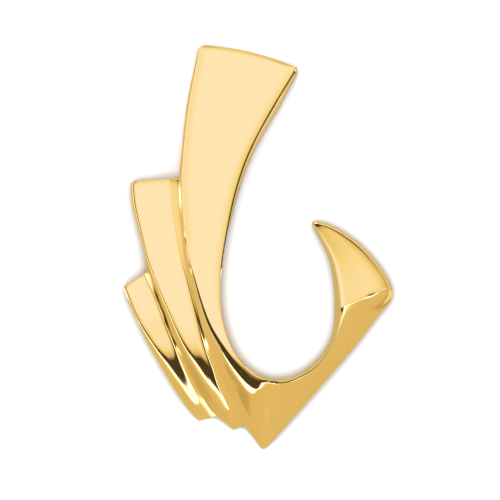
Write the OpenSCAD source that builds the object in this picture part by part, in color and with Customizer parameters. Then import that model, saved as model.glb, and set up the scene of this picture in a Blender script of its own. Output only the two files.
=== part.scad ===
// Slide pendant in polished yellow gold: three fanned blades and a hook, cast in one piece,
// with a flat strap behind the long blade that rides on a chain. It lies on its back, face up.

/* [Pendant] */
// Width from the short blade to the bend of the hook
pendant_w = 26.9; // [23:0.1:32]
// Height from the top of the long blade to the lowest corner
pendant_h = 40.3; // [35:0.1:48]
// Depth from the face of the long blade to the back
pendant_d = 4.2; // [3.9:0.1:5]

/* [Slide] */
// Thickness of the long blade over the chain passage
plate_t = 0.85; // [0.7:0.05:1.1]
// Thickness of the strap behind the chain passage
strap_t = 0.7; // [0.6:0.05:1]
// Thickness of the fold that joins blade and strap at the top
fold_t = 0.9; // [0.6:0.05:1.2]
// Width of the strap edge that shows beside the long blade
strap_proud = 0.55; // [0.1:0.05:0.8]
// Distance from the top of the pendant to the lower end of the chain passage
passage_end = 16.8; // [12:0.1:18]

/* [Edges] */
// Height of the thin upright edge around the foot of the walls
rim_h = 0.4; // [0.25:0.05:0.6]
// Rounding of the crests between faces and walls
crest_r = 0.12; // [0.05:0.01:0.2]
// Rounding of the side blades' far edges where they are softest
shoulder_r = 0.5; // [0.3:0.05:0.8]
// Width of the flat filed along the lower crest of the long blade
filed_w = 0.9; // [0.4:0.05:1]
// Rounding of the upper left corner of the long blade
long_corner_r = 0.6; // [0.2:0.05:1.2]
// Rounding of the upper left corner of the middle blade
middle_corner_r = 0.4; // [0.1:0.05:0.8]
// Rounding of the upper left corner of the short blade
short_corner_r = 0.2; // [0.05:0.05:0.4]
// Rise of the curved top edge of the long blade above its chord
top_bow = 0.45; // [0:0.05:0.8]
// Width of the inner wall, seen from above, where the hook leans out most
hook_lean = 0.62; // [0.3:0.02:0.7]

/* [Hollow back] */
// Metal left around the hollows in the back
shell_t = 0.75; // [0.6:0.05:1]

/* [Hidden] */
gold = [0.95, 0.76, 0.42];
eps = 0.01;

// The tables below hold shares in hundredths: places across and down the pendant, heights of its depth.

// Long blade and hook. Columns: inner edge, crest and wall foot, each as across, down.
ribbon_plan = [
    [64.4, 5.9, 28.4, 0.1, 28.2, 0.0],
    [60.3, 10.4, 25.6, 8.2, 25.4, 8.1],
    [55.0, 16.3, 23.6, 15.4, 23.3, 15.4],
    [50.2, 22.1, 22.4, 22.3, 22.1, 22.3],
    [46.2, 27.6, 21.5, 28.8, 21.2, 28.8],
    [43.0, 33.5, 21.2, 34.7, 20.2, 34.8],
    [40.4, 39.9, 21.8, 40.8, 20.6, 40.9],
    [38.4, 46.5, 22.9, 46.9, 21.5, 47.1],
    [36.8, 52.7, 24.5, 53.3, 22.8, 53.7],
    [36.0, 58.5, 26.7, 59.5, 24.7, 60.0],
    [36.0, 63.7, 29.1, 65.4, 26.7, 65.9],
    [37.0, 68.4, 31.9, 70.4, 28.1, 71.1],
    [39.2, 73.3, 35.4, 74.6, 29.9, 75.6],
    [42.4, 77.3, 39.3, 78.8, 32.7, 80.3],
    [46.4, 80.2, 44.0, 82.7, 36.0, 85.5],
    [49.2, 81.4, 47.1, 84.6, 40.8, 91.0],
    [51.8, 82.2, 49.6, 85.3, 46.3, 95.8],
    [54.0, 82.6, 52.0, 84.6, 50.3, 99.2],
    [56.4, 82.8, 55.0, 84.0, 52.4, 100],
    [59.8, 82.6, 59.3, 83.9, 58.5, 95.7],
    [63.9, 81.9, 64.2, 82.9, 66.8, 89.4],
    [68.5, 79.9, 69.6, 80.9, 73.8, 84.0],
    [72.8, 77.2, 74.1, 77.9, 79.6, 79.5],
    [76.1, 73.9, 77.5, 74.4, 84.7, 75.6],
    [77.5, 71.0, 79.2, 71.4, 88.9, 72.0],
    [77.9, 68.9, 80.3, 69.3, 93.0, 68.4],
    [78.1, 67.4, 81.0, 67.5, 96.7, 65.3],
    [78.1, 66.5, 81.4, 66.0, 100, 62.6],
    [78.1, 65.8, 81.7, 64.7, 99.2, 59.6]];

// Same blade. Columns: lean and foot height of the inner wall, inner edge and crest height,
// width of the filed flat, knee place and height in the outer wall, wall foot height, strap edge.
ribbon_form = [
    [25, 93, 100, 100, 0, 50, 97, 94, 40],
    [25, 92, 99.5, 99.5, 0, 50, 96.5, 93.5, 97],
    [25, 91, 99, 99, 0, 50, 95.6, 92.2, 47],
    [25, 89, 98.3, 98.2, 0, 50, 94, 89.5, 30],
    [25, 86, 97.5, 96.7, 9, 50, 91.2, 85.6, 0],
    [25, 82, 96, 93.7, 28, 50, 85.7, 77, 0],
    [27, 78, 94.5, 90.6, 47, 50, 75, 59.5, 0],
    [30, 74, 93, 86.1, 83, 50, 57.8, 29.5, 0],
    [30, 71, 91, 82.7, 100, 80, 25.5, 10, 0],
    [30, 68, 84.5, 84, 5, 80, 25.5, 10, 0],
    [32, 60, 75.5, 74, 0, 65, 48, 33, 0],
    [45, 35, 67, 66, 0, 45, 54.8, 39.3, 0],
    [70, 10, 66.5, 66.5, 0, 64, 44, 28.6, 0],
    [95, 10, 68, 68.6, 0, 73, 40, 24, 0],
    [100, 10, 69.5, 70.2, 0, 97, 53.5, 24, 0]];

// Tip of the hook past the cross crease, with the columns of the long blade.
tip_plan = [
    [78.1, 65.8, 81.7, 64.7, 99.2, 59.6],
    [78.1, 62.2, 81.4, 61.0, 97.8, 57.5],
    [77.5, 58.0, 80.4, 56.9, 94.9, 54.7],
    [76.4, 54.0, 78.6, 53.4, 91.1, 51.5],
    [74.8, 51.1, 76.6, 50.5, 86.6, 48.7],
    [73.0, 48.7, 74.4, 48.2, 81.9, 46.5],
    [71.4, 46.6, 72.4, 46.3, 77.5, 44.8],
    [70.1, 44.9, 70.9, 44.8, 73.9, 44.0],
    [69.9, 44.0, 70.4, 43.9, 71.1, 43.6]];
tip_form = [
    [100, 10, 69.5, 70.2, 0, 97, 53.5, 24, 0],
    [70, 10, 67.5, 68, 0, 97, 55.5, 24, 0],
    [48, 10, 64.5, 65, 0, 96, 56, 26, 0],
    [30, 10, 60.5, 61, 0, 94, 56.3, 30, 0],
    [12, 12, 57, 57, 0, 80, 54.5, 34, 0]];

// Middle blade. Columns: wall foot, crest, far edge and the valley against the long blade,
// each as across, down, then the heights of the four and the softness of the far edge.
middle_table = [
    [2.6, 33.8, 3.5, 33.7, 17.3, 33.1, 20.05, 33.2, 88.7, 94.7, 94.7, 84.8, 0],
    [3.0, 38.6, 4.0, 38.6, 17.8, 38.6, 20.4, 38.6, 88.5, 94.5, 94.5, 84.9, 0],
    [4.4, 43.1, 5.3, 43.1, 18.5, 42.9, 21.05, 43.0, 88, 94, 94, 84.3, 0],
    [6.5, 48.7, 7.3, 48.7, 19.8, 48.3, 22.0, 48.3, 87, 93.4, 93.4, 84.8, 0],
    [8.5, 54.3, 9.3, 54.3, 21.5, 54.3, 23.3, 54.3, 85, 92.6, 92.6, 83.6, 10],
    [9.5, 60.0, 12.4, 59.9, 23.75, 59.7, 25.25, 59.7, 64, 91.6, 91.8, 83.3, 20],
    [11.7, 64.1, 14.8, 63.8, 25.2, 63.8, 26.8, 63.7, 66, 90.2, 90.6, 81.7, 30],
    [14.3, 68.7, 17.6, 68.2, 27.1, 68.4, 28.6, 68.4, 61, 88, 88.8, 79, 50],
    [17.3, 73.1, 20.3, 72.4, 28.7, 72.5, 31.0, 72.8, 56, 85, 86, 74.5, 60],
    [20.2, 77.3, 23.5, 76.5, 30.6, 76.4, 33.0, 76.4, 46.5, 79.5, 81.5, 69.5, 40],
    [23.6, 81.6, 27.0, 80.5, 32.9, 80.3, 35.65, 80.3, 39, 69.8, 72.5, 62, 0],
    [27.1, 85.5, 30.2, 84.0, 34.5, 84.0, 37.9, 83.9, 31, 60.3, 63, 52, 0],
    [30.3, 88.7, 32.8, 86.9, 36.7, 87.0, 39.7, 86.4, 28, 51, 53.3, 43, 0],
    [32.9, 91.1, 35.3, 89.3, 38.3, 89.3, 41.7, 89.1, 22, 41.3, 43, 33, 0],
    [36.2, 93.0, 38.3, 91.6, 39.8, 91.4, 43.1, 91.5, 13, 32, 32.8, 25, 0],
    [40.3, 95.3, 41.4, 95.0, 42.6, 94.6, 44.5, 94.1, 10, 12.5, 13, 13, 0]];

// Short blade, with the columns of the middle blade.
short_table = [
    [-0.3, 60.1, 0.5, 59.7, 7.5, 56.7, 8.8, 56.1, 80, 84, 84, 75.9, 0],
    [1.2, 62.8, 2.1, 62.5, 9.7, 60.0, 11.2, 59.6, 78, 82.5, 82.8, 74.2, 10],
    [3.3, 65.9, 4.2, 66.0, 12.1, 63.7, 13.1, 63.5, 75.5, 80.8, 81.4, 74.1, 20],
    [5.9, 69.8, 6.9, 69.7, 14.5, 67.9, 15.6, 67.7, 72, 78.3, 79, 70.9, 40],
    [9.1, 74.2, 10.0, 73.5, 16.9, 71.6, 18.0, 71.5, 66, 74.3, 75.5, 67.5, 60],
    [12.5, 78.1, 13.7, 77.3, 19.3, 75.7, 21.05, 75.7, 57, 68, 70.5, 60, 60],
    [16.0, 82.2, 17.5, 81.2, 21.6, 79.4, 24.4, 79.9, 45.5, 59, 62, 49.5, 30],
    [19.5, 86.0, 21.2, 84.6, 24.1, 82.9, 27.3, 83.5, 32.5, 49, 52, 39, 0],
    [22.7, 89.2, 24.3, 87.6, 26.4, 86.0, 29.9, 86.3, 20.5, 38, 41, 29, 0],
    [25.3, 91.5, 26.6, 89.6, 28.2, 88.8, 32.3, 88.6, 11.5, 29.5, 31.5, 20, 0],
    [27.7, 93.1, 29.0, 92.6, 30.2, 92.4, 35.3, 91.8, 10, 10.8, 11, 10.5, 0]];

// A row of a table, carried on in a straight line past either end.
function row(t, i) =
    let (n = len(t) - 1)
    i < 0 ? t[0] + i * (t[1] - t[0]) :
    i > n ? t[n] + (i - n) * (t[n] - t[n - 1]) : t[i];
// Control row of a smooth curve that passes by the table's own rows.
function control(t, i) = row(t, i) - (row(t, i - 1) - 2 * row(t, i) + row(t, i + 1)) / 6;
// The table at share s of its length, on a uniform cubic B-spline.
function table_at(t, s) =
    let (u = s * (len(t) - 1), i = min(floor(u), len(t) - 2), f = u - i, g = 1 - f)
    (g * g * g * control(t, i - 1)
        + (3 * f * f * f - 6 * f * f + 4) * control(t, i)
        + (3 * g * g * g - 6 * g * g + 4) * control(t, i + 1)
        + f * f * f * control(t, i + 2)) / 6;
// A place across and down the pendant, with the pendant's middle at the origin.
function place(across, down) = [(across / 100 - 0.5) * pendant_w, (0.5 - down / 100) * pendant_h];
// A height above the back, never lower than the thin edge at the foot.
function height(share) = max(rim_h, share / 100 * pendant_d);
function at(plan, z) = [plan.x, plan.y, z];
function flat(p) = [p.x, p.y];
function towards(a, b, d) = a + (b - a) * min(d / norm(b - a), 0.47);
// Points from a to b, without b.
function steps(a, b, n) = [for (k = [0:n - 1]) a + (b - a) * k / n];
// A rounded corner at q between p and r.
function rounded(a, q, b, n) =
    [for (k = [0:n]) let (f = k / n, g = 1 - f) g * g * a + 2 * f * g * q + f * f * b];
function softness(share) = crest_r + max(share, 0) / 100 * (shoulder_r - crest_r);
// How far a rounded corner draws the outline in, at distance d from its end.
function drawn_in(d, r) = d < r ? r - sqrt(r * r - (r - d) * (r - d)) : 0;
// Shares along a blade: close together round its corner, then even.
function stations(corner, even) =
    concat([for (k = [0:3]) corner * (1 - cos(k * 22.5))],
        [for (k = [0:even]) corner + (1 - corner) * k / even]);

// Section through the long blade: middle of the back, wall foot, knee, crest, face, inner wall.
function ribbon_section(plan, form, corner_d) =
    let (
        inner = place(plan[0], plan[1]),
        crest = place(plan[2], plan[3]),
        foot = place(plan[4], plan[5]),
        cut = drawn_in(corner_d, long_corner_r) * (inner - crest) / norm(inner - crest),
        lean = form[0] / 100 * hook_lean * (crest - inner) / norm(crest - inner),
        a1 = at(inner, height(form[1])),
        b = at(inner + lean, height(form[2])),
        c = at(crest + cut, height(form[3])),
        d = at(foot + cut, height(form[7])),
        k = at(foot + cut + (crest - foot) * (1 - form[5] / 100), height(form[6])),
        filed = max(form[4], 0) / 100 * filed_w,
        face_w = norm(flat(b - c)),
        edge_w = max(filed, 3 * crest_r),
        e = at(flat(c) + flat(b - c) * edge_w / face_w,
            c.z + filed * filed_rise + (b.z - c.z) * (edge_w - filed) / face_w),
        c0 = towards(c, k, crest_r),
        c1 = towards(c, e, crest_r),
        k0 = k + (d - k) * 0.3,
        k1 = k + (c - k) * 0.2)
    concat([at((inner + foot + cut) / 2, 0), at(foot + cut, 0)],
        steps(d, k0, 2), rounded(k0, k, k1, 3), steps(k1 + (c0 - k1) / 3, c0, 2),
        rounded(c0, c, c1, 4), steps(e, b, 2), [b, a1, at(inner, 0)]);

// The same section with the top edge of the blade bowed upwards.
function bowed(section, fade) =
    let (first = flat(section[1]), span = flat(section[len(section) - 1]) - first)
    [for (p = section)
        let (u = (flat(p) - first) * span / (span * span))
        p + [0, 4 * top_bow * fade * u * (1 - u), 0]];

// Section through the middle or the short blade: foot, crest, face, far edge, valley, hidden root.
function blade_section(row, corner_d, corner_r) =
    let (
        foot = place(row[0], row[1]),
        crest = place(row[2], row[3]),
        edge = place(row[4], row[5]),
        valley = place(row[6], row[7]),
        across = (valley - crest) / norm(valley - crest),
        cut = drawn_in(corner_d, corner_r) * across,
        root = valley + root_in * across,
        d = at(foot + cut, height(row[8])),
        c = at(crest + cut, height(row[9])),
        f = at(edge, height(row[10])),
        g = at(valley, height(row[11])),
        c0 = towards(c, d, crest_r),
        c1 = towards(c, f, crest_r),
        f0 = towards(f, c1, softness(row[12])),
        f1 = towards(f, g, softness(row[12])))
    concat([at((foot + cut + root) / 2, 0), at(foot + cut, 0)],
        steps(d, c0, 3), rounded(c0, c, c1, 4), steps(c1 + (f0 - c1) / 3, f0, 2),
        rounded(f0, f, f1, 4), [g, at(root, g.z - crest_r), at(root, 0)]);

// Rise of the filed flat towards the face, for each millimetre of its width
filed_rise = 0.31;
// How far the root of a blade runs into the wall of the next one.
root_in = 0.35;

// Height of a section's upper side at distance q from its foot.
function top_at(section, q) =
    let (foot = flat(section[1]), span = flat(section[len(section) - 1]) - foot, dir = span / norm(span))
    lookup(q, [for (i = [2:len(section) - 2]) [(flat(section[i]) - foot) * dir, section[i].z]]);
// Section of the hollow under a section, with metal left at the foot, at the far side and above.
function hollow_section(section, far_t) =
    let (
        foot = flat(section[1]),
        span = flat(section[len(section) - 1]) - foot,
        reach = norm(span),
        near_w = min(shell_t, 0.3 * reach),
        far_w = min(far_t, 0.3 * reach),
        n = 6)
    concat([at(foot + span / 2, -eps * 20), at(foot + span * near_w / reach, -eps * 20)],
        [for (k = [0:n])
            let (q = near_w + (reach - near_w - far_w) * k / n)
            at(foot + span * q / reach, max(top_at(section, q) - shell_t, rim_h / 2))],
        [at(foot + span * (1 - far_w / reach), -eps * 20)]);

// A solid through a row of closed sections. Each section starts at a point that sees all the others.
module skin(sections) {
    n = len(sections[0]);
    last = (len(sections) - 1) * n;
    polyhedron(
        points = [for (s = sections) each s],
        faces = concat(
            [for (i = [0:len(sections) - 2], j = [0:n - 1])
                let (a = i * n + j, b = i * n + (j + 1) % n)
                each [[a, b, b + n], [a, b + n, a + n]]],
            [for (j = [1:n - 2]) [0, j + 1, j]],
            [for (j = [1:n - 2]) [last, last + j, last + j + 1]]),
        convexity = 12);
}

long_run = norm(place(ribbon_plan[1][2], ribbon_plan[1][3]) - place(ribbon_plan[0][2], ribbon_plan[0][3]))
    * (len(ribbon_plan) - 1);
middle_run = norm(place(middle_table[1][2], middle_table[1][3])
    - place(middle_table[0][2], middle_table[0][3])) * (len(middle_table) - 1);
short_run = norm(place(short_table[1][2], short_table[1][3])
    - place(short_table[0][2], short_table[0][3])) * (len(short_table) - 1);
// Share of the long blade over which the bow of its top edge dies away
bow_share = 0.12;

function ribbon_at(s) =
    bowed(ribbon_section(table_at(ribbon_plan, s), table_at(ribbon_form, s), s * long_run),
        pow(max(0, 1 - s / bow_share), 2));
function tip_at(s) = ribbon_section(table_at(tip_plan, s), table_at(tip_form, s), long_corner_r);
function middle_at(s) = blade_section(table_at(middle_table, s), s * middle_run, middle_corner_r);
function short_at(s) = blade_section(table_at(short_table, s), s * short_run, short_corner_r);

module long_blade_and_hook() {
    skin(concat(
        [for (s = stations(long_corner_r / long_run, 64)) ribbon_at(s)],
        [for (k = [1:18]) tip_at(k / 18)]));
}

module middle_blade() {
    skin([for (s = stations(middle_corner_r / middle_run, 36)) middle_at(s)]);
}

module short_blade() {
    skin([for (s = stations(short_corner_r / short_run, 28)) short_at(s)]);
}

// Flat strap behind the long blade, a little proud of its right edge.
module strap() {
    n = 16;
    end = 0.24;
    shares = [for (k = [0:n]) end * k / n];
    linear_extrude(strap_t)
        polygon(concat(
            [for (s = shares)
                let (p = table_at(ribbon_plan, s), f = table_at(ribbon_form, s))
                place(p[0], p[1]) + [max(f[8], 0) / 100 * strap_proud, 0]],
            [for (k = [n:-1:0])
                let (p = table_at(ribbon_plan, shares[k]))
                place(p[2], p[3]) + [crest_r * 2, 0]]));
}

// Passage for the chain, open at both sides, between the strap and the long blade.
module chain_passage() {
    n = 8;
    beyond = pendant_w;
    top = ribbon_at(0);
    first = flat(top[1]);
    last = flat(top[len(top) - 1]);
    low = pendant_h / 2 - passage_end;
    edge = [for (k = [0:n])
        let (u = k / n)
        first + (last - first) * u + [0, 4 * top_bow * u * (1 - u) - fold_t]];
    translate([0, 0, strap_t])
        linear_extrude(height(ribbon_form[3][3]) - plate_t - strap_t)
            polygon(concat(
                [[first.x - beyond, edge[0].y]], edge,
                [[last.x + beyond, edge[n].y], [last.x + beyond, low], [first.x - beyond, low]]));
}

// Hollows in the back that follow the blades above them.
module hollows() {
    root_t = root_in + shell_t / 2;
    skin(concat(
        [for (k = [0:36]) hollow_section(ribbon_at(0.28 + 0.71 * k / 36), shell_t)],
        [for (k = [1:7]) hollow_section(tip_at(0.55 * k / 7), shell_t)]));
    skin([for (k = [0:24]) hollow_section(middle_at(0.06 + 0.86 * k / 24), root_t)]);
    skin([for (k = [0:18]) hollow_section(short_at(0.09 + 0.8 * k / 18), root_t)]);
}

module slide_pendant() {
    color(gold)
        difference() {
            union() {
                difference() {
                    union() {
                        long_blade_and_hook();
                        strap();
                    }
                    chain_passage();
                }
                middle_blade();
                short_blade();
            }
            hollows();
        }
}

slide_pendant();
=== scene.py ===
import bpy
import math
import numpy as np
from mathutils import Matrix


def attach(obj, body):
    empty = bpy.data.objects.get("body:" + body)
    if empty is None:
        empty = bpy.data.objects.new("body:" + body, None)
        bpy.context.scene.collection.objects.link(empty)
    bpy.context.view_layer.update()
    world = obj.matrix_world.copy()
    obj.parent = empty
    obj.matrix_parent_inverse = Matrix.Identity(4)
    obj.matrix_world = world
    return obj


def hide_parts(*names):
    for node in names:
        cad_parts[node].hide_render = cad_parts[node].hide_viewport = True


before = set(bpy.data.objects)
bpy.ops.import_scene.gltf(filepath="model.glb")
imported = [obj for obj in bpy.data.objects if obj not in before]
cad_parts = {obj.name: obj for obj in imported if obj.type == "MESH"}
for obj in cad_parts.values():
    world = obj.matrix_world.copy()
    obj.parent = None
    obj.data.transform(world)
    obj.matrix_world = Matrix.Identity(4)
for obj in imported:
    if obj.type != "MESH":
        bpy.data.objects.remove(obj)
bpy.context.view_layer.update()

# Long blade and hook.
# The main blade of the casting: it runs down from the top, turns the corner at the bottom and
# goes on into the hook. Yellow gold, cast, filed along its crests and buffed to a mirror.
# Sizes in millimetres: the whole, the thinnest rim, then how far each kind of worn edge reaches.
width, height, depth = 26.9, 40.3, 4.2
rim = 0.4
crisp, edge_leg, knee_leg, tip_knee_leg = 0.05, 0.2, 0.4, 0.3
rim_down, rim_in, rim_down_least, rim_in_least = 0.34, 0.2, 0.08, 0.06
thin_below, thin_span, rim_reach = 1.6, 0.8, 0.85
corner_long, end_radius = 0.6, 0.1
# Width and slope of the buffing towards the edges, and less of it at the blade's end.
crown_width, rise = 1.3, 0.17
end_soft, end_rise, end_crown = 0.8, 0.2, 0.3
# The flat strip filed beside the crest low on the blade, and the bright flat outside it.
strip_width, strip_rise, strip_full = 0.9, 0.29, 0.15
bright_share, bright_rise = 1.6, 0.4
# Lean of the inner wall, rounding of the outer face beside its knee, bow of the top edge.
lean_width, brow = 0.62, 0.08
top_bow, bow_share = 0.45, 0.12
long_sections, tip_sections = 330, 90

# Shares in hundredths, across and down: inner edge, crest and wall foot.
ribbon_plan = np.array([
    [64.4, 5.9, 28.4, 0.1, 28.2, 0.0],
    [60.3, 10.4, 26, 8.2, 25.4, 8.1],
    [55.0, 16.3, 24, 15.4, 23.3, 15.4],
    [50.2, 22.1, 22.8, 22.3, 22.1, 22.3],
    [46.2, 27.6, 21.9, 28.8, 21.2, 28.8],
    [43.0, 33.5, 21.5, 34.7, 20.2, 34.8],
    [40.4, 39.9, 22, 40.8, 20.6, 40.9],
    [38.4, 46.5, 22.9, 46.9, 21.5, 47.1],
    [36.8, 52.7, 24.5, 53.3, 22.8, 53.7],
    [36.0, 58.5, 26.7, 59.5, 24.7, 60.0],
    [36.0, 63.7, 29.1, 65.4, 26.7, 65.9],
    [37.0, 68.4, 31.9, 70.4, 28.1, 71.1],
    [39.2, 73.3, 35.4, 74.6, 29.9, 75.6],
    [42.4, 77.3, 39.3, 78.8, 32.7, 80.3],
    [46.4, 80.2, 44.0, 82.7, 36.0, 85.5],
    [49.2, 81.4, 47.1, 84.6, 40.8, 91.0],
    [51.8, 82.2, 49.6, 85.3, 46.3, 95.8],
    [54.0, 82.6, 52.0, 84.6, 50.3, 99.2],
    [56.4, 82.8, 55.0, 84.0, 52.4, 100],
    [59.8, 82.6, 59.3, 83.9, 58.5, 95.7],
    [63.9, 81.9, 64.2, 82.9, 66.8, 89.4],
    [68.5, 79.9, 69.6, 80.9, 73.8, 84.0],
    [72.8, 77.2, 74.1, 77.9, 79.6, 79.5],
    [76.1, 73.9, 77.5, 74.4, 84.7, 75.6],
    [77.5, 71.0, 79.2, 71.4, 88.9, 72.0],
    [77.9, 68.9, 80.3, 69.3, 93.0, 68.4],
    [78.1, 67.4, 81.0, 67.5, 96.7, 65.3],
    [78.1, 66.5, 81.4, 66.0, 100, 62.6],
    [78.1, 65.8, 81.7, 64.7, 99.2, 59.6]])
# Lean and foot height of the inner wall, heights of inner edge and crest, softness of the crest,
# place and height of the knee in the outer wall, height of its foot.
ribbon_form = np.array([
    [25, 96.4, 100, 100, 0, 50, 98.2, 96.5],
    [25, 95.9, 99.5, 99.5, 0, 50, 97.8, 96],
    [25, 95.4, 99, 99, 0, 50, 97.2, 95.5],
    [25, 94.6, 98.3, 98.2, 0, 50, 96.2, 94.2],
    [16, 94.2, 97.5, 96.7, 9, 50, 93.6, 90.2],
    [14, 92.8, 96, 93.7, 28, 50, 88.9, 84],
    [14, 91.3, 94.5, 90.6, 47, 50, 79.8, 69.5],
    [16, 89.6, 93, 86.1, 83, 50, 61.5, 37],
    [30, 71, 91, 82.7, 100, 80, 24.5, 10],
    [30, 68, 84.5, 84, 5, 80, 24.5, 10],
    [32, 60, 75.5, 74, 0, 65, 48, 33],
    [45, 35, 67, 66, 0, 45, 54.8, 39.3],
    [70, 10, 65.5, 65.5, 0, 64, 44, 28.6],
    [95, 10, 65.4, 65.6, 0, 73, 35.5, 24],
    [100, 10, 70.5, 71.2, 0, 97, 55.2, 24]])
tip_plan = np.array([
    [78.1, 65.8, 81.7, 64.7, 99.2, 59.6],
    [78.1, 62.2, 81.4, 61.0, 97.8, 57.5],
    [77.5, 58.0, 80.4, 56.9, 94.9, 54.7],
    [76.4, 54.0, 78.6, 53.4, 91.1, 51.5],
    [74.8, 51.1, 76.6, 50.5, 86.6, 48.7],
    [73.0, 48.7, 74.4, 48.2, 81.9, 46.5],
    [71.4, 46.6, 72.4, 46.3, 77.5, 44.8],
    [70.1, 44.9, 70.9, 44.8, 73.9, 44.0],
    [69.9, 44.0, 70.4, 43.9, 71.1, 43.6]])
tip_form = np.array([
    [100, 10, 70.5, 71.2, 0, 97, 55.2, 24],
    [70, 10, 68.2, 68.7, 0, 97, 56.6, 24],
    [48, 10, 64.5, 65, 0, 96, 56, 26],
    [30, 10, 60.5, 61, 0, 94, 56.3, 30],
    [12, 12, 57, 57, 0, 80, 54.5, 34]])


def table_at(table, shares):
    """Rows of a given table at shares of its length, on a smooth curve through them."""
    ends = np.vstack([2 * table[0] - table[1], table, 2 * table[-1] - table[-2]])
    inner = table - (ends[:-2] - 2 * table + ends[2:]) / 6
    ctrl = np.vstack([2 * inner[0] - inner[1], inner, 2 * inner[-1] - inner[-2]])
    u = np.clip(shares, 0, 1) * (len(table) - 1)
    i = np.minimum(u.astype(int), len(table) - 2)
    f = (u - i)[:, None]
    g = 1 - f
    return (g**3 * ctrl[i] + (3 * f**3 - 6 * f**2 + 4) * ctrl[i + 1]
            + (3 * g**3 - 6 * g**2 + 4) * ctrl[i + 2] + f**3 * ctrl[i + 3]) / 6


def place(across, down, up):
    """Points in millimetres from shares of the width and height and a height above the back."""
    return np.stack([(across / 100 - 0.5) * width, (0.5 - down / 100) * height,
                     up + np.zeros_like(across)], axis=1)


def level(share):
    """A height from a share of the depth in hundredths, never below the rim."""
    return np.maximum(rim, share / 100 * depth)


def unit(v):
    """The same ways, one millimetre long."""
    return v / np.maximum(np.linalg.norm(v, axis=1, keepdims=True), 1e-9)


def on_way(a, b, reach, most=0.47):
    """The point on the way from a to b at a distance, never past a share of the way."""
    span = np.linalg.norm(b - a, axis=1, keepdims=True)
    return a + (b - a) * np.minimum(np.reshape(reach, (-1, 1)) / np.maximum(span, 1e-9), most)


def run_to(a, b, n):
    """n rows of points from a towards b, without b."""
    return [a + (b - a) * k / n for k in range(n)]


def turn(a, q, b, n):
    """A rounded corner at q, from a to b."""
    return [(1 - f)**2 * a + 2 * f * (1 - f) * q + f**2 * b for f in np.linspace(0, 1, n + 1)]


def rim_turn(top, foot, wall):
    """Both ends of the worn edge at the foot of a wall: broad where the rim is thin."""
    thin = np.clip((thin_below - top[:, 2]) / thin_span, 0, 1)
    down = rim_down_least + (rim_down - rim_down_least) * thin
    inwards = rim_in_least + (rim_in - rim_in_least) * thin
    return on_way(top, foot, down, rim_reach), on_way(top, wall, inwards)


def drawn_in(gone, radius):
    """How far a rounded corner pulls the outline in, at a distance from the blade's end."""
    rest = np.clip(radius - gone, 0, radius)
    return radius - np.sqrt(radius**2 - rest**2)


def flat_cross(section_from, section_to):
    """The level way across each section, one millimetre long."""
    v = section_to - section_from
    v[:, 2] = 0
    return unit(v)


def crowned_face(left_wall, left, right, right_wall, legs, rises, widths):
    """A face buffed a little round towards both edges, with the soft turn of each edge."""
    soft_most, leg_most, turn_steps, face_steps = 0.45, 0.12, 12, 23
    up = np.array([0, 0, 1.0])
    span = np.linalg.norm(right - left, axis=1, keepdims=True)
    soft_left, soft_right = np.minimum(widths[0], span * soft_most), np.minimum(widths[1], span * soft_most)
    most = np.minimum(span * leg_most, np.minimum(soft_left, soft_right) / 2)
    leg, last = np.minimum(legs[0], most), np.minimum(legs[3], most)
    rise_left, rise_right = rises
    low_left = rise_left * (soft_left - leg * leg / soft_left) / 2
    low_right = rise_right * (soft_right - last * last / soft_right) / 2
    left, right = left - low_left * up, right - low_right * up
    along = (right - left) / span
    points = turn(on_way(left, left_wall, legs[1]), left,
                  left + leg * (along + rise_left * (1 - leg / soft_left) * up), turn_steps)
    for f in np.linspace(0, 1, face_steps)[1:-1]:
        s = leg + (span - leg - last) * f
        near_left = np.clip(1 - s / soft_left, 0, 1)
        near_right = np.clip(1 - (span - s) / soft_right, 0, 1)
        lift = low_left * (1 - s / span) + low_right * s / span
        fall = rise_left * soft_left / 2 * near_left**2 + rise_right * soft_right / 2 * near_right**2
        points.append(left + s * along + (lift - fall) * up)
    points += turn(right + last * (-along + rise_right * (1 - last / soft_right) * up), right,
                   on_way(right, right_wall, legs[2]), turn_steps)
    return points


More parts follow.
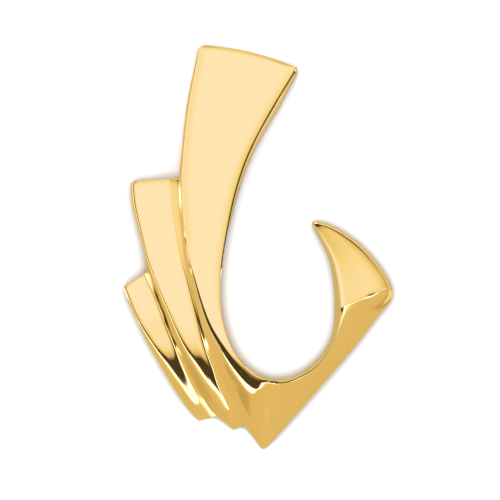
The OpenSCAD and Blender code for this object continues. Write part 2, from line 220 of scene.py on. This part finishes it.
def ribbon_profile(plan, form, gone, knee_in):
    """All the points of a section, from the outer side of the back over the blade to the inner."""
    inner_flat = place(plan[:, 0], plan[:, 1], 0)
    crest_flat = place(plan[:, 2], plan[:, 3], 0)
    foot_flat = place(plan[:, 4], plan[:, 5], 0)
    across = flat_cross(crest_flat, inner_flat)
    cut = drawn_in(gone, corner_long)[:, None] * across
    up = np.array([0, 0, 1.0])
    lean = (form[:, 0] / 100 * lean_width)[:, None] * -across
    a0 = inner_flat
    a1 = inner_flat + level(form[:, 1])[:, None] * up
    b = inner_flat + lean + level(form[:, 2])[:, None] * up
    c = crest_flat + cut + level(form[:, 3])[:, None] * up
    strip = np.maximum(form[:, 4], 0)[:, None] / 100 * strip_width
    r1 = c + strip * across + strip * strip_rise * up
    d0 = foot_flat + cut
    d = d0 + level(form[:, 7])[:, None] * up
    k = d0 + (crest_flat - foot_flat) * (1 - form[:, 5:6] / 100) + level(form[:, 6])[:, None] * up
    k0, k1 = on_way(k, d, knee_leg), on_way(k, c, knee_in)
    bright = np.maximum(strip - 0.5 * strip_width, 0) * bright_share
    w = c - bright * across - bright * bright_rise * up
    share = np.clip(strip / strip_full, 0, 1)
    share = share * share * (3 - 2 * share)
    crown = rise * np.clip(end_crown + (1 - end_crown) * gone / end_soft, 0, 1)[:, None]
    plain = crowned_face(k1, c, b, a1, (edge_leg, edge_leg, crisp, 2 * crisp), (crown, crown),
                         (crown_width, crown_width))
    low = turn(on_way(w, k1, edge_leg + bright), w, on_way(w, c, edge_leg), 10)[:-1]
    low += run_to(on_way(w, c, edge_leg), c, 5) + run_to(c, on_way(r1, c, crisp), 8)
    high = crowned_face(c, r1, b, a1, (crisp, crisp, crisp, crisp), (0, rise), (crown_width, crown_width))
    plain = [plain[0] + 0 * p for p in low] + plain
    face = [p * (1 - share) + q * share for p, q in zip(plain, low + high)]
    d1, d2 = rim_turn(d, d0, k0)
    rows = run_to(d0, d1, 2) + turn(d1, d, d2, 7)[:-1] + run_to(d2, k0, 6) + turn(k0, k, k1, 8)[:-1]
    span = np.linalg.norm(face[0] - k1, axis=1, keepdims=True)
    # The outer face from its knee to the crest, rounded most just beside the knee.
    rows += [k1 + f * (face[0] - k1) + brow * span * f * (1 - f)**4 * up for f in np.linspace(0, 0.92, 12)]
    rows += face[:-1]
    rows += run_to(face[-1], a1, 5) + run_to(a1, a0, 3) + [a0]
    return np.stack(rows, axis=1)


def rows_to_mesh(name, grid):
    """A closed mesh from a grid of points in millimetres: sections by points along a section.

    Its faces point inwards for the blades and the hollows, and outwards for the passage.
    """
    n, m = grid.shape[:2]
    points = grid.reshape(-1, 3) / 1000
    faces = [(i * m + j, i * m + (j + 1) % m, (i + 1) * m + (j + 1) % m, (i + 1) * m + j)
             for i in range(n - 1) for j in range(m)]
    mesh = bpy.data.meshes.new(name)
    middle = [(points[0] + points[m - 1]) / 2, (points[(n - 1) * m] + points[n * m - 1]) / 2]
    first, last = n * m, n * m + 1
    faces += [(first, (j + 1) % m, j) for j in range(m)]
    faces += [(last, (n - 1) * m + j, (n - 1) * m + (j + 1) % m) for j in range(m)]
    mesh.from_pydata([tuple(p) for p in points] + [tuple(p) for p in middle], [], faces)
    mesh.validate()
    obj = bpy.data.objects.new(name, mesh)
    bpy.context.collection.objects.link(obj)
    return obj


def end_round(grid, gone, radius):
    """Lets a blade's end fall away, gently at first and then in a small round."""
    fall = (drawn_in(gone, radius) + end_rise * end_soft / 2 * np.clip(1 - gone / end_soft, 0, 1)**2)[:, None]
    above_rim, most_fall = 0.3, 0.5
    top = grid[:, :, 2] > above_rim
    grid[:, :, 2] -= np.where(top, np.minimum(fall, grid[:, :, 2] * most_fall), 0)
    return grid


def bow_top(grid, shares):
    """The top edge of the long blade bows upwards, and the bow dies away below it."""
    first, last = grid[:, 0, :2], grid[:, -1, :2]
    span = last - first
    u = ((grid[:, :, :2] - first[:, None]) * span[:, None]).sum(2) / (span * span).sum(1)[:, None]
    fade = np.clip(1 - shares / bow_share, 0, 1)**2
    grid[:, :, 1] += 4 * top_bow * fade[:, None] * u * (1 - u)
    return grid


closing = np.array([0.6, 0.4, 0.25, 0.14, 0.07, 0.03])


def blade_shares(run, near, even):
    """Shares along a blade: very close at its end, close round its corner, then even, then closing up."""
    ease = 1 - np.cos(np.linspace(0, math.pi / 2, 10))[:-1]
    first = end_radius * (1 - np.cos(np.linspace(0, math.pi / 2, 5)))[:-1]
    body = np.linspace(near / run, 1, even)
    last = 1 - closing * (body[1] - body[0])
    return np.concatenate([first / run, (end_radius + (near - end_radius) * ease) / run,
                           body[:-1], last, body[-1:]])


def blade_run(table, column):
    """About how long a blade is: its first step times the number of steps."""
    step = place(table[:, column], table[:, column + 1], 0)
    return np.linalg.norm(step[1] - step[0]) * (len(table) - 1)


long_run = blade_run(ribbon_plan, 2)
long_shares = blade_shares(long_run, corner_long, long_sections)
long_grid = ribbon_profile(table_at(ribbon_plan, long_shares), table_at(ribbon_form, long_shares),
                           long_shares * long_run, knee_leg)
long_grid = bow_top(end_round(long_grid, long_shares * long_run, end_radius), long_shares)
tip_shares = np.linspace(0, 1, tip_sections)[1:]
tip_shares = np.concatenate([closing[::-1] * tip_shares[0], tip_shares])
tip_grid = ribbon_profile(table_at(tip_plan, tip_shares), table_at(tip_form, tip_shares),
                          np.full(len(tip_shares), corner_long), tip_knee_leg)


def soft_crease(grid, at, across, reach):
    """Rounds the crease at one row of the grid, over a reach set by the share of the way across."""
    rows_away, above_rim = 3, 1.0
    step = np.linalg.norm(np.diff(grid[:, :, :2], axis=0), axis=2)
    run = np.vstack([np.zeros(grid.shape[1]), np.cumsum(step, axis=0)])
    run = run - run[at]
    slope = [(grid[at, :, 2] - grid[at + k, :, 2]) / np.maximum(np.abs(run[at + k]), 1e-6)
             for k in (-rows_away, rows_away)]
    line = grid[at, :, :2]
    way = line[-1] - line[0]
    share = ((line - line[0]) * way).sum(1) / (way * way).sum()
    soft = np.interp(share, across, reach)
    fall = np.maximum(slope[0] + slope[1], 0) * np.clip(soft - np.abs(run), 0, None)**2 / (4 * soft)
    grid[:, :, 2] -= np.where(grid[:, :, 2] > above_rim, fall, 0)
    return grid


# The cross crease between blade and tip is sharp, but for a softer stretch about a third of the way
# in from the outer side.
crease_across, crease_reach = (0, 0.2, 0.35, 0.5, 1.0), (0.08, 0.08, 0.5, 0.08, 0.08)
whole = soft_crease(np.concatenate([long_grid, tip_grid]), len(long_grid) - 1, crease_across, crease_reach)
long_blade = rows_to_mesh("pendant_casting", whole)

# Middle blade and short blade.
# They stand beside the long blade like steps of a fan, each with a filed crest on its left and a
# hollow fillet where it meets the wall of the next, and melt into that wall at the bottom.
# Columns, in hundredths: across and down for foot, crest, bevel and valley; heights of foot, crest,
# bevel and valley; softness of the crest.
middle_table = np.array([
    [2.6, 33.8, 3.5, 33.7, 17.3, 33.1, 20.05, 33.2, 90.5, 94.7, 94.7, 91.4, 0],
    [3.0, 38.6, 4.0, 38.6, 17.8, 38.6, 20.4, 38.6, 90.3, 94.5, 94.5, 91.4, 0],
    [4.4, 43.1, 5.3, 43.1, 18.5, 42.9, 21.05, 43.0, 89.8, 94, 94, 90.9, 0],
    [6.5, 48.7, 7.3, 48.7, 19.8, 48.3, 22.0, 48.3, 89, 93.4, 93.4, 90.6, 0],
    [8.5, 54.3, 9.3, 54.3, 21.5, 54.3, 23.3, 54.3, 87, 92.6, 92.6, 89.8, 0],
    [9.5, 60.0, 12.4, 59.9, 23.75, 59.7, 25.25, 59.7, 72.4, 91.6, 91.8, 88.8, 10],
    [11.7, 64.1, 14.8, 63.8, 25.2, 63.8, 26.8, 63.7, 69.5, 90.2, 90.6, 87.2, 20],
    [14.3, 68.7, 17.6, 68.2, 27.1, 68.4, 28.6, 68.4, 65.6, 88, 88.8, 84.6, 30],
    [17.3, 73.1, 20.3, 72.4, 28.7, 72.5, 31.0, 72.8, 64.2, 85.2, 86.2, 79.6, 45],
    [20.2, 77.3, 23.5, 76.5, 30.6, 76.4, 33.0, 76.4, 57.1, 80.3, 82.1, 72.5, 42],
    [23.6, 81.6, 27.0, 80.5, 32.9, 80.3, 35.65, 80.3, 45.4, 70.5, 73.1, 62.5, 34],
    [27.1, 85.5, 30.2, 84.0, 34.5, 84.0, 37.9, 83.9, 34.7, 60.7, 63.3, 51.5, 24],
    [30.3, 88.7, 32.8, 86.9, 36.7, 87.0, 39.7, 86.4, 26.1, 50.5, 52.8, 41.5, 10],
    [32.9, 91.1, 35.3, 89.3, 38.3, 89.3, 41.7, 89.1, 19.8, 41.8, 43.6, 31.5, 0],
    [36.2, 93.0, 38.3, 91.6, 39.8, 91.4, 43.1, 91.5, 16, 32.8, 33.8, 24, 0],
    [40.3, 95.3, 41.4, 95.0, 42.6, 94.6, 44.5, 94.1, 10, 12, 12.5, 11.5, 0]])
short_table = np.array([
    [-0.3, 60.1, 0.5, 59.7, 7.5, 56.7, 8.8, 56.1, 83.5, 86.5, 86.5, 81.4, 0],
    [1.2, 62.8, 2.1, 62.5, 9.7, 60.0, 11.2, 59.6, 81.5, 85, 85.3, 80, 0],
    [3.3, 65.9, 4.2, 66.0, 12.1, 63.7, 13.1, 63.5, 80, 83.3, 83.9, 79, 0],
    [5.9, 69.8, 6.9, 69.7, 14.5, 67.9, 15.6, 67.7, 77.5, 80.8, 81.5, 76.3, 10],
    [9.1, 74.2, 10.0, 73.5, 16.9, 71.6, 18.0, 71.5, 69, 76.5, 77.5, 71, 30],
    [12.5, 78.1, 13.7, 77.3, 19.3, 75.7, 21.05, 75.7, 62.3, 71.5, 73.8, 65.5, 50],
    [16.0, 82.2, 17.5, 81.2, 21.6, 79.4, 24.4, 79.9, 49.8, 61.2, 63.9, 52.5, 50],
    [19.5, 86.0, 21.2, 84.6, 24.1, 82.9, 27.3, 83.5, 35.2, 49.8, 52.4, 39.5, 34],
    [22.7, 89.2, 24.3, 87.6, 26.4, 86.0, 29.9, 86.3, 22.2, 37.8, 40.3, 28.5, 10],
    [25.3, 91.5, 26.6, 89.6, 28.2, 88.8, 32.3, 88.6, 14.5, 28.5, 30, 21, 0],
    [27.7, 93.1, 29.0, 92.6, 30.2, 92.4, 35.3, 91.8, 10, 10.7, 10.9, 10.6, 0]])
corner_middle, corner_short = 0.4, 0.2
side_crown, side_more, soft_crown = 0.4, 1.0, 0.5
root_in, root_drop = 0.35, 0.1
groove, groove_deep = 0.14, 0.007
middle_sections, short_sections = 230, 170


def side_blade_grid(table, corner, even):
    """A side blade's sections: foot, crest, face, bevel and a root inside the next blade."""
    run = blade_run(table, 2)
    shares = blade_shares(run, corner, even)
    row = table_at(table, shares)
    up = np.array([0, 0, 1.0])
    foot, crest = place(row[:, 0], row[:, 1], 0), place(row[:, 2], row[:, 3], 0)
    bevel, valley = place(row[:, 4], row[:, 5], 0), place(row[:, 6], row[:, 7], 0)
    across = flat_cross(crest, valley)
    cut = drawn_in(shares * run, corner)[:, None] * across
    d0 = foot + cut
    d = d0 + level(row[:, 8])[:, None] * up
    c = crest + cut + level(row[:, 9])[:, None] * up
    f = bevel + level(row[:, 10])[:, None] * up
    g = valley + level(row[:, 11])[:, None] * up
    root = valley + root_in * across
    h = root + (level(row[:, 11]) - root_drop)[:, None] * up
    soft = np.clip(row[:, 12], 0, 100)[:, None] / 100
    d1, d2 = rim_turn(d, d0, c)
    side_rise, side_width = rise * (1 + side_more * soft), side_crown + soft * soft_crown
    face = crowned_face(d2, c, f, g, (edge_leg, edge_leg, crisp + soft * edge_leg, edge_leg),
                        (side_rise, side_rise), (side_width, side_width))
    rows = run_to(d0, d1, 2) + turn(d1, d, d2, 7)[:-1] + run_to(d2, face[0], 7) + face[:-1]
    line = face[-1]
    way_on = unit(g - line)
    rows += [line, line + groove / 2 * way_on - groove_deep * up, line + groove * way_on]
    rows += run_to(line + groove * 1.5 * way_on, g, 4) + [g, h, root]
    return end_round(np.stack(rows, axis=1), shares * run, end_radius)


middle_grid = side_blade_grid(middle_table, corner_middle, middle_sections)
short_grid = side_blade_grid(short_table, corner_short, short_sections)
middle_blade = rows_to_mesh("middle_blade", middle_grid)
short_blade = rows_to_mesh("short_blade", short_grid)


def join_castings(keep, other, how):
    """Fuses or cuts two closed meshes and leaves the result in the first."""
    mod = keep.modifiers.new("join", "BOOLEAN")
    mod.operation = how
    mod.solver = "MANIFOLD"
    mod.object = other
    deps = bpy.context.evaluated_depsgraph_get()
    mesh = bpy.data.meshes.new_from_object(keep.evaluated_get(deps))
    keep.modifiers.clear()
    keep.data = mesh
    bpy.data.objects.remove(other)


def hollow_below(grid, wall, far_wall):
    """Sections of the hollow below a blade, with metal left at both sides and above."""
    cells, below, wall_most = 18, -0.2, 0.3
    foot, far = grid[:, 0, :2], grid[:, -1, :2]
    reach = np.linalg.norm(far - foot, axis=1)
    way = (far - foot) / reach[:, None]
    near_w, far_w = np.minimum(wall, wall_most * reach), np.minimum(far_wall, wall_most * reach)
    rows = []
    for k in range(-1, cells + 2):
        f = np.clip(k / cells, 0, 1)
        q = near_w + (reach - near_w - far_w) * f
        deep = np.full(len(q), below)
        if 0 <= k <= cells:
            along = ((grid[:, :, :2] - foot[:, None]) * way[:, None]).sum(2)
            top = [np.interp(q[i], np.maximum.accumulate(along[i]), grid[i, :, 2]) for i in range(len(q))]
            deep = np.maximum(np.array(top) - wall, rim / 2)
        rows.append(np.column_stack([foot + way * q[:, None], deep]))
    return np.stack(rows, axis=1)


# The hollows follow every third section, start below the passage and keep off the blades' ends.
shell, every = 0.75, 3
hollow_from, hollow_to, tip_hollow_to = 0.28, 0.99, 50
middle_from, short_from, side_to = 30, 25, -18
under_long = (long_shares > hollow_from) & (long_shares < hollow_to)
long_hollow = rows_to_mesh("long_hollow", hollow_below(
    np.concatenate([long_grid[under_long][::every], tip_grid[:tip_hollow_to:every]]), shell, shell))
middle_hollow = rows_to_mesh("middle_hollow", hollow_below(
    middle_grid[middle_from:side_to:every], shell, root_in + shell / 2))
short_hollow = rows_to_mesh("short_hollow", hollow_below(
    short_grid[short_from:side_to:every], shell, root_in + shell / 2))

# The chain passage is open from side to side, under the fold at the top of the long blade.
plate, fold, passage_end, fold_share = 0.85, 0.9, 16.8, 98.2
passage_top = fold_share / 100 * depth - plate
beyond, under_back, edge_points = 3.0, -1.0, 24
edge_x = np.linspace(long_grid[0, 0, 0] - beyond, long_grid[0, -1, 0] + beyond, edge_points)
edge_y = np.interp(edge_x, long_grid[0, :, 0], long_grid[0, :, 1]) - fold
low_y = height / 2 - passage_end
passage_grid = np.stack([
    np.column_stack([edge_x, np.full(edge_points, low_y), np.full(edge_points, under_back)]),
    np.column_stack([edge_x, np.full(edge_points, low_y), np.full(edge_points, passage_top)]),
    np.column_stack([edge_x, edge_y, np.full(edge_points, passage_top)]),
    np.column_stack([edge_x, edge_y, np.full(edge_points, under_back)])], axis=1)
passage = rows_to_mesh("passage", passage_grid[::-1])

# Known fault: blades and hollows face inwards, so the casting does too, its back stays flat and
# closed, and the roofs of the hollows stay inside it.
join_castings(long_blade, passage, "DIFFERENCE")
join_castings(long_blade, middle_blade, "UNION")
join_castings(long_blade, short_blade, "UNION")
for hollow in (long_hollow, middle_hollow, short_hollow):
    join_castings(long_blade, hollow, "DIFFERENCE")
casting = long_blade
for poly in casting.data.polygons:
    poly.use_smooth = True
casting_sharp = 28
casting.data.set_sharp_from_angle(angle=math.radians(casting_sharp))


def put_node(tree, kind, inputs=(), **settings):
    """Adds a node, sets its settings and gives its inputs either a value or a link."""
    made = tree.nodes.new(kind)
    for key, value in settings.items():
        setattr(made, key, value)
    for key, value in dict(inputs).items():
        if isinstance(value, bpy.types.NodeSocket):
            tree.links.new(value, made.inputs[key])
        else:
            made.inputs[key].default_value = value
    return made


def polished_gold(name, polish_turn):
    """Yellow gold off the buffing wheel: hairlines along one way, faint waves, a few duller spots."""
    gold = bpy.data.materials.new(name)
    gold.use_nodes = True
    tree = gold.node_tree
    shader = tree.nodes["Principled BSDF"]
    shader.inputs["Metallic"].default_value = 1
    here = put_node(tree, "ShaderNodeTexCoord").outputs["Object"]
    stretched = put_node(tree, "ShaderNodeMapping", {
        "Vector": here, "Rotation": (0, 0, polish_turn), "Scale": (24000, 900, 900)})
    hairlines = put_node(tree, "ShaderNodeTexNoise", {
        "Vector": stretched.outputs[0], "Scale": 1.0, "Detail": 2.0})
    waves = put_node(tree, "ShaderNodeTexNoise", {"Vector": here, "Scale": 420.0, "Detail": 1.0})
    spots = put_node(tree, "ShaderNodeTexNoise", {"Vector": here, "Scale": 1500.0, "Detail": 3.0})
    wavy = put_node(tree, "ShaderNodeBump", {
        "Height": waves.outputs[0], "Strength": 1.0, "Distance": 0.0000045})
    fine = put_node(tree, "ShaderNodeBump", {
        "Height": hairlines.outputs[0], "Strength": 0.6, "Distance": 0.0000004, "Normal": wavy.outputs[0]})
    sheen = put_node(tree, "ShaderNodeMapRange", {
        "Value": spots.outputs[0], "From Min": 0.3, "From Max": 0.75, "To Min": 0.04, "To Max": 0.085})
    tree.links.new(sheen.outputs[0], shader.inputs["Roughness"])
    tree.links.new(fine.outputs[0], shader.inputs["Normal"])
    shader.inputs["Base Color"].default_value = (1.0, 0.775, 0.43, 1)
    return gold


polish_way = 25
casting.data.materials.clear()
casting.data.materials.append(polished_gold("polished_gold", math.radians(polish_way)))
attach(casting, "root")
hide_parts("slide_pendant")

# Strap behind the long blade.
# A flat strip of gold soldered under the fold and to the foot of the blade, a little proud of its
# right edge, so that a chain passes between the two. Rolled, its long edges rounded by filing.
strap_thick, strap_edge, strap_fall, strap_lift = 0.7, 0.12, 0.23, 0.03
strap_chamfer, strap_short = 0.1, 0.25
strap_start, strap_end, proud_end, strap_rows = 0.012, 0.24, 0.285, 70
strap_proud = np.array([0.22, 0.53, 0.3, 0.16, 0.0])
strap_shares = np.linspace(strap_start, strap_end, strap_rows)
plan_rows = table_at(ribbon_plan, strap_shares)
left_edge = place(plan_rows[:, 2], plan_rows[:, 3], 0)
right_edge = place(plan_rows[:, 0], plan_rows[:, 1], 0)
right_edge[:, 0] += np.interp(strap_shares, np.linspace(0, proud_end, len(strap_proud)), strap_proud)
left_edge[:, 0] += strap_short
spine = (left_edge + right_edge) / 2
half_strap = (right_edge - left_edge) / 2
strap_mesh = bpy.data.meshes.new("slide_strap")
strap_mesh.from_pydata([tuple(p / 1000) for p in spine], [(i, i + 1) for i in range(len(spine) - 1)], [])
half = strap_mesh.attributes.new("half_across", "FLOAT_VECTOR", "POINT")
half.data.foreach_set("vector", (half_strap / 1000).ravel())
strap = bpy.data.objects.new("slide_strap", strap_mesh)
bpy.context.collection.objects.link(strap)

strip_tree = bpy.data.node_groups.new("strip_between_two_edges", "GeometryNodeTree")
strip_tree.interface.new_socket("Geometry", in_out="INPUT", socket_type="NodeSocketGeometry")
strip_inputs = {}
for label, value in (("Thickness", strap_thick / 1000), ("Edge radius", strap_edge / 1000),
                     ("Lift", strap_lift / 1000), ("Bevel fall", strap_fall / 1000),
                     ("Chamfer fall", strap_chamfer / 1000)):
    socket = strip_tree.interface.new_socket(label, in_out="INPUT", socket_type="NodeSocketFloat")
    strip_inputs[socket.identifier] = value
socket = strip_tree.interface.new_socket("Material", in_out="INPUT", socket_type="NodeSocketMaterial")
strip_inputs[socket.identifier] = bpy.data.materials["polished_gold"]
strip_tree.interface.new_socket("Geometry", in_out="OUTPUT", socket_type="NodeSocketGeometry")

given = put_node(strip_tree, "NodeGroupInput").outputs
spine_curve = put_node(strip_tree, "GeometryNodeMeshToCurve", {"Mesh": given["Geometry"]})
where = put_node(strip_tree, "GeometryNodeInputPosition")
along_spine = put_node(strip_tree, "GeometryNodeCaptureAttribute", {"Geometry": spine_curve.outputs["Curve"]})
along_spine.capture_items.new("VECTOR", "Spine")
strip_tree.links.new(where.outputs[0], along_spine.inputs["Spine"])
# The outline is swept at a set width in metres, and each half is then moved out to the strip's edge.
nominal, bevel_reach, chamfer_reach = 0.006, 0.0005, 0.0003
outline = put_node(strip_tree, "GeometryNodeCurvePrimitiveQuadrilateral",
                   {"Width": nominal, "Height": given["Thickness"]})
soft_outline = put_node(strip_tree, "GeometryNodeFilletCurve", {
    "Curve": outline.outputs[0], "Radius": given["Edge radius"], "Count": 5}, mode="POLY")
fine_outline = put_node(strip_tree, "GeometryNodeSubdivideCurve", {
    "Curve": soft_outline.outputs[0], "Cuts": 32})
on_outline = put_node(strip_tree, "GeometryNodeCaptureAttribute", {"Geometry": fine_outline.outputs[0]})
on_outline.capture_items.new("VECTOR", "Outline")
strip_tree.links.new(where.outputs[0], on_outline.inputs["Outline"])
swept = put_node(strip_tree, "GeometryNodeCurveToMesh", {
    "Curve": along_spine.outputs["Geometry"], "Profile Curve": on_outline.outputs["Geometry"],
    "Fill Caps": True})
parts = put_node(strip_tree, "ShaderNodeSeparateXYZ", {0: on_outline.outputs["Outline"]})
to_edge = put_node(strip_tree, "ShaderNodeMapRange", {
    "Value": parts.outputs[0], "From Min": nominal / 2 - bevel_reach, "From Max": nominal / 2,
    "To Min": 0.0, "To Max": given["Bevel fall"]})
to_rim = put_node(strip_tree, "ShaderNodeMapRange", {
    "Value": parts.outputs[0], "From Min": nominal / 2 - chamfer_reach, "From Max": nominal / 2,
    "To Min": 0.0, "To Max": given["Chamfer fall"]})
both_falls = put_node(strip_tree, "ShaderNodeMath", {0: to_edge.outputs[0], 1: to_rim.outputs[0]},
                      operation="ADD")
upper = put_node(strip_tree, "ShaderNodeMath", {0: parts.outputs[1], 1: 0.0}, operation="GREATER_THAN")
upper_fall = put_node(strip_tree, "ShaderNodeMath", {0: both_falls.outputs[0], 1: upper.outputs[0]},
                      operation="MULTIPLY")
bevelled = put_node(strip_tree, "ShaderNodeMath", {0: parts.outputs[1], 1: upper_fall.outputs[0]},
                    operation="SUBTRACT")
half_across = put_node(strip_tree, "GeometryNodeInputNamedAttribute", {"Name": "half_across"},
                       data_type="FLOAT_VECTOR")
half_length = put_node(strip_tree, "ShaderNodeVectorMath", {0: half_across.outputs[0]}, operation="LENGTH")
side_way = put_node(strip_tree, "ShaderNodeVectorMath", {0: half_across.outputs[0]}, operation="NORMALIZE")
side = put_node(strip_tree, "ShaderNodeMath", {0: parts.outputs[0]}, operation="SIGN")
wider = put_node(strip_tree, "ShaderNodeMath", {0: half_length.outputs["Value"], 1: nominal / 2},
                 operation="SUBTRACT")
shift = put_node(strip_tree, "ShaderNodeMath",
                 {0: side.outputs[0], 1: wider.outputs[0], 2: parts.outputs[0]}, operation="MULTIPLY_ADD")
sideways = put_node(strip_tree, "ShaderNodeVectorMath",
                    {0: side_way.outputs[0], "Scale": shift.outputs[0]}, operation="SCALE")
half_thick = put_node(strip_tree, "ShaderNodeMath", {0: given["Thickness"], 1: 0.5, 2: given["Lift"]},
                      operation="MULTIPLY_ADD")
up_by = put_node(strip_tree, "ShaderNodeMath", {0: bevelled.outputs[0], 1: half_thick.outputs[0]},
                 operation="ADD")
upwards = put_node(strip_tree, "ShaderNodeCombineXYZ", {2: up_by.outputs[0]})
from_spine = put_node(strip_tree, "ShaderNodeVectorMath",
                      {0: along_spine.outputs["Spine"], 1: sideways.outputs[0]}, operation="ADD")
final_place = put_node(strip_tree, "ShaderNodeVectorMath",
                       {0: from_spine.outputs[0], 1: upwards.outputs[0]}, operation="ADD")
placed = put_node(strip_tree, "GeometryNodeSetPosition",
                  {"Geometry": swept.outputs[0], "Position": final_place.outputs[0]})
real = put_node(strip_tree, "GeometryNodeRealizeInstances", {"Geometry": placed.outputs[0]})
dressed = put_node(strip_tree, "GeometryNodeSetMaterial",
                   {"Geometry": real.outputs[0], "Material": given["Material"]})
put_node(strip_tree, "NodeGroupOutput", {0: dressed.outputs[0]})
strip_mod = strap.modifiers.new("strip", "NODES")
strip_mod.node_group = strip_tree
for key, value in strip_inputs.items():
    strip_mod[key] = value
baked = bpy.data.meshes.new_from_object(strap.evaluated_get(bpy.context.evaluated_depsgraph_get()))
strap.modifiers.clear()
strap.data = baked
for poly in strap.data.polygons:
    poly.use_smooth = True
strap_sharp = 40
strap.data.set_sharp_from_angle(angle=math.radians(strap_sharp))
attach(strap, "root")
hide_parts("slide_pendant")

# Floor, lights and camera.
# A white table under a soft studio tent, photographed from straight above.
floor_mesh = bpy.data.meshes.new("studio_floor")
floor_half = 0.6
floor_mesh.from_pydata([(-floor_half, -floor_half, 0), (floor_half, -floor_half, 0),
                        (floor_half, floor_half, 0), (-floor_half, floor_half, 0)], [], [(0, 1, 2, 3)])
floor = bpy.data.objects.new("studio_floor", floor_mesh)
bpy.context.collection.objects.link(floor)
paper = bpy.data.materials.new("white_table_painted_shade")
paper.use_nodes = True
paper_shader = paper.node_tree.nodes["Principled BSDF"]
# Painted shade: an occlusion node darkens the table's colour within a millimetre of the pendant, a painted
# contact shadow on top of the real one.
painted_contact_shade = put_node(paper.node_tree, "ShaderNodeAmbientOcclusion",
                   {"Color": (0.92, 0.94, 0.97, 1), "Distance": 0.001}, samples=8)
paper.node_tree.links.new(painted_contact_shade.outputs["Color"], paper_shader.inputs["Base Color"])
paper_shader.inputs["Roughness"].default_value = 0.9
floor_mesh.materials.append(paper)
floor.visible_glossy = False

tent = bpy.data.worlds.new("studio_tent")
bpy.context.scene.world = tent
tent.use_nodes = True
tent_tree = tent.node_tree
sky = tent_tree.nodes["Background"]
towards = put_node(tent_tree, "ShaderNodeTexCoord")
zenith = put_node(tent_tree, "ShaderNodeVectorMath", {0: towards.outputs["Generated"], 1: (0, 0, 1)},
                  operation="DOT_PRODUCT")
down_from_top = put_node(tent_tree, "ShaderNodeMath", {0: zenith.outputs["Value"]}, operation="ARCCOSINE")
half_turns = put_node(tent_tree, "ShaderNodeMath", {0: down_from_top.outputs[0], 1: math.pi},
                      operation="DIVIDE")
rings = put_node(tent_tree, "ShaderNodeValToRGB", {0: half_turns.outputs[0]})
tent_tree.links.new(rings.outputs[0], sky.inputs[0])
plain_sky = put_node(tent_tree, "ShaderNodeBackground", {0: (1, 1, 1, 1), 1: 1.75})
ray = put_node(tent_tree, "ShaderNodeLightPath")
either = put_node(tent_tree, "ShaderNodeMixShader",
                  {0: ray.outputs["Is Glossy Ray"], 1: plain_sky.outputs[0], 2: sky.outputs[0]})
tent_tree.links.new(either.outputs[0], tent_tree.nodes["World Output"].inputs[0])
# Rings of the tent as the gold mirrors them: degrees down from straight above, and the colour there.
ring_stops = [
    (0, (1.0, 1.0, 1.0)), (7, (1.0, 1.0, 1.0)), (13, (0.98, 0.94, 0.8)), (17, (0.95, 0.86, 0.5)),
    (24, (0.72, 0.58, 0.25)), (28, (0.06, 0.045, 0.02)), (37, (0.06, 0.045, 0.02)), (40, (1.9, 1.9, 1.9)),
    (46, (1.9, 1.9, 1.9)), (48.5, (1.0, 0.85, 0.5)), (52, (0.76, 0.62, 0.28)), (86, (0.72, 0.58, 0.25)),
    (94, (0.58, 0.45, 0.18)), (106, (0.56, 0.43, 0.17)), (114, (0.92, 0.82, 0.5)),
    (138, (0.92, 0.82, 0.5)), (149, (0.66, 0.52, 0.24)), (180, (0.6, 0.47, 0.2))]
stops = rings.color_ramp.elements
while len(stops) < len(ring_stops):
    stops.new(0.5)
for stop, (degrees, colour) in zip(stops, ring_stops):
    stop.position = degrees / 180
    stop.color = (*colour, 1)

key_spread, key_tilt = 40, -17
key = bpy.data.lights.new("soft_key", "SUN")
key.energy = 0.5
key.angle = math.radians(key_spread)
key_lamp = bpy.data.objects.new("soft_key", key)
key_lamp.rotation_euler = (math.radians(key_tilt), math.radians(key_tilt), 0)
key_lamp.visible_glossy = False
bpy.context.collection.objects.link(key_lamp)

# The camera looks straight down from 0.9 m, so there is next to no perspective.
view = bpy.data.cameras.new("view_from_above")
far, frame_width, sensor = 0.9, 0.049945, 36
aim_x, aim_y = -0.000864, -0.00033
view.sensor_width = sensor
view.lens = sensor * far / frame_width
view.clip_end = 10
camera = bpy.data.objects.new("view_from_above", view)
camera.location = (aim_x, aim_y, far)
bpy.context.collection.objects.link(camera)
bpy.context.scene.camera = camera
bpy.context.scene.view_settings.view_transform = "Standard"
